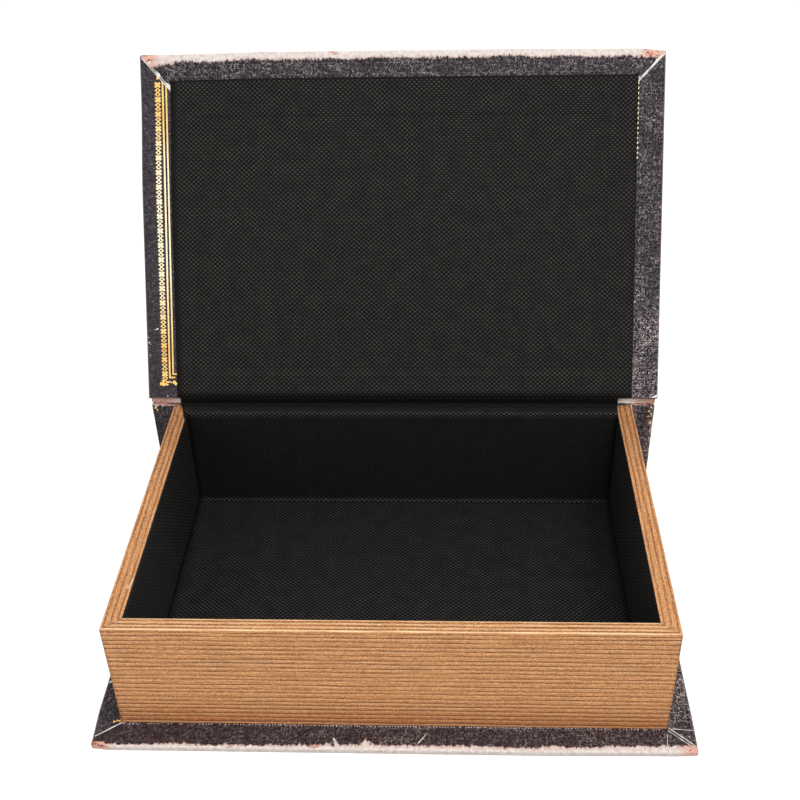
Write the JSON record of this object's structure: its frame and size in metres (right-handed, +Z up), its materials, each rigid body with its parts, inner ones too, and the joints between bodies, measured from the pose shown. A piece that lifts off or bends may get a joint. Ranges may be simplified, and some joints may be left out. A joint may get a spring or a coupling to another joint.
{
  "type": "book box",
  "caption": "Keepsake box shaped like an old book: a lined tray with page-edge walls inside a wrapped case whose front cover is a hinged lid.",
  "frame": {"origin": "middle of the back cover's underside, which rests on the table", "axes": "+Z up; +X along the spine, to the right as seen from the front; +Y from the front edge to the spine"},
  "size_m": [0.2716, 0.2634, 0.2273],
  "materials": {
    "cover_wrap": "satin, worn pale along the edges, with a gilt border",
    "page_paper": "satin, embossed with fine ridges like page edges",
    "lining_cloth": "matt spunbond cloth embossed with small dots",
    "grey_board": "matt",
    "fibre_board": "matt",
    "pin_steel": "bright"
  },
  "bodies": {
    "case": {"base_board": "grey_board", "base_wrap": "cover_wrap", "spine_board": "grey_board", "spine_wrap": "cover_wrap", "front_wall": "fibre_board", "rear_wall": "fibre_board", "left_wall": "fibre_board", "right_wall": "fibre_board", "corner_pins": "pin_steel", "page_strip_front": "page_paper", "page_strip_left": "page_paper", "page_strip_right": "page_paper", "floor_lining": "lining_cloth", "front_lining": "lining_cloth", "left_lining": "lining_cloth", "right_lining": "lining_cloth", "hinge_strip": "lining_cloth"},
    "lid": {"lid_board": "grey_board", "lid_wrap": "cover_wrap", "lid_lining": "lining_cloth", "hinge_strip_lid": "lining_cloth"}
  },
  "joints": [
    {"name": "lid_hinge", "type": "hinge", "parent": "case", "child": "lid", "pos_m": [0, 0.0889, 0.0673], "axis": [-1, 0, 0], "range_deg": [-118, 0]}
  ]
}
